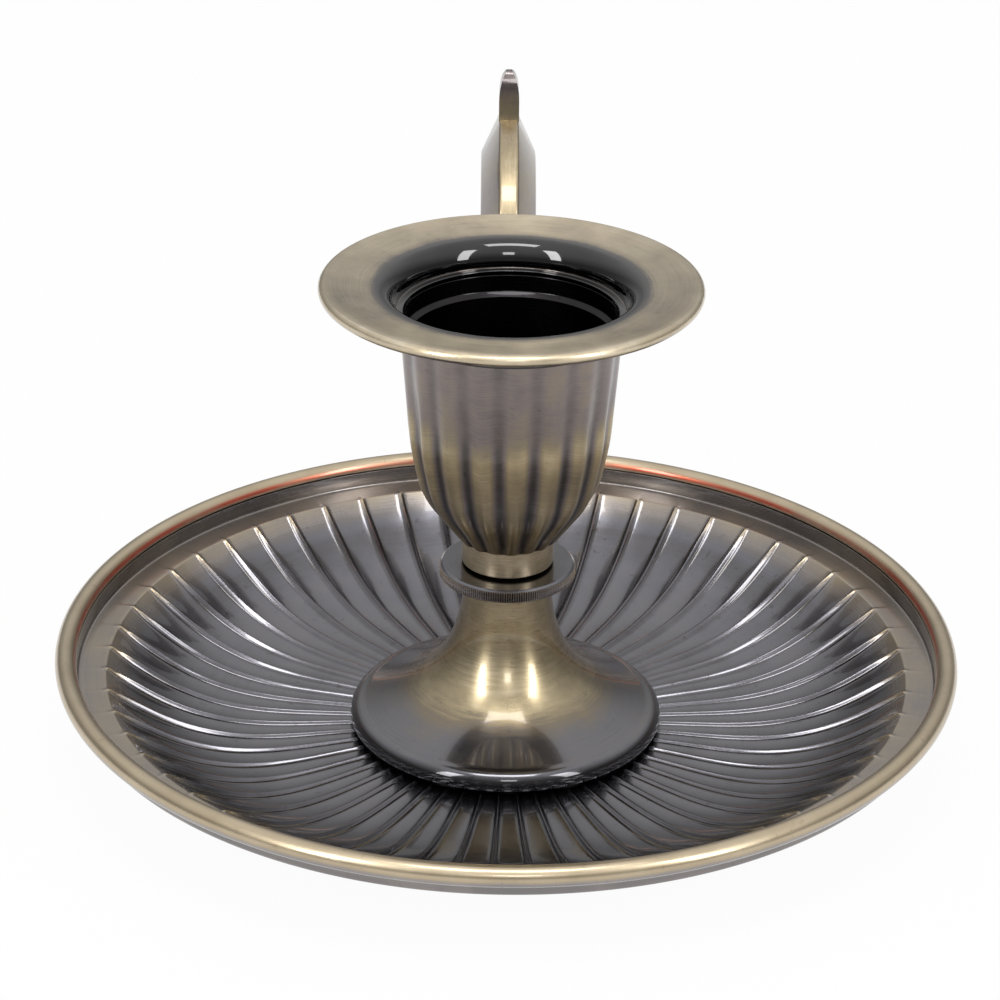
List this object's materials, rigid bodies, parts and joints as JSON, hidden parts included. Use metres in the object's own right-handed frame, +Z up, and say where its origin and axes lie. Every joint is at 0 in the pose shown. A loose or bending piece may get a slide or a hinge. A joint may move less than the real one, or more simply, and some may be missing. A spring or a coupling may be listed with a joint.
{
  "type": "taper candle holder",
  "caption": "Chamberstick: a ribbed dish with a pedestal, a fluted cup under a drip pan for a taper candle, and a finger loop.",
  "frame": {"origin": "middle of the whole footprint, on the table; the candle's axis stands 15.5 mm in front of it, at y = -0.0155", "axes": "+Z up along the candle, +Y from the candle towards the finger loop, +X to the right seen from the front"},
  "size_m": [0.105, 0.136, 0.059],
  "materials": {
    "dish_brass": "antique plated, polished and lacquered",
    "pedestal_brass": "antique plated, brushed round, lacquered",
    "cup_brass": "antique plated, brushed, lacquered",
    "pan_brass": "antique plated, brushed, lacquered",
    "ring_brass": "darkened, knurled",
    "loop_brass": "antique plated, brushed, lacquered",
    "screw_brass": "turned",
    "copper_wire": "drawn wire",
    "plated_steel": "zinc plated"
  },
  "bodies": {
    "base": {"dish": "dish_brass", "rim_wire": "copper_wire", "pedestal": "pedestal_brass", "stud": "plated_steel", "flat_washer": "plated_steel", "split_washer": "plated_steel", "hex_nut": "plated_steel", "finger_loop": "loop_brass", "handle_screws": "screw_brass"},
    "ring": {"lock_ring": "ring_brass"},
    "washer": {"cup_washer": "ring_brass"},
    "cup": {"candle_cup": "cup_brass", "drip_pan": "pan_brass"}
  },
  "joints": [
    {"name": "lock_ring_turn", "type": "hinge", "parent": "base", "child": "ring", "pos_m": [0, -0.0155, 0.021], "axis": [0, 0, 1], "range_deg": [0, 110]},
    {"name": "cup_climb", "type": "slide", "parent": "base", "child": "washer", "axis": [0, 0, 1], "range_m": [0, 0.00561]},
    {"name": "cup_turn", "type": "hinge", "parent": "washer", "child": "cup", "pos_m": [0, -0.0155, 0.0222], "axis": [0, 0, 1], "range_deg": [0, 2520]}
  ],
  "couplings": [
    {"joint": "cup_climb", "follows": "cup_turn", "m_per_rad": 0.00012732}
  ]
}
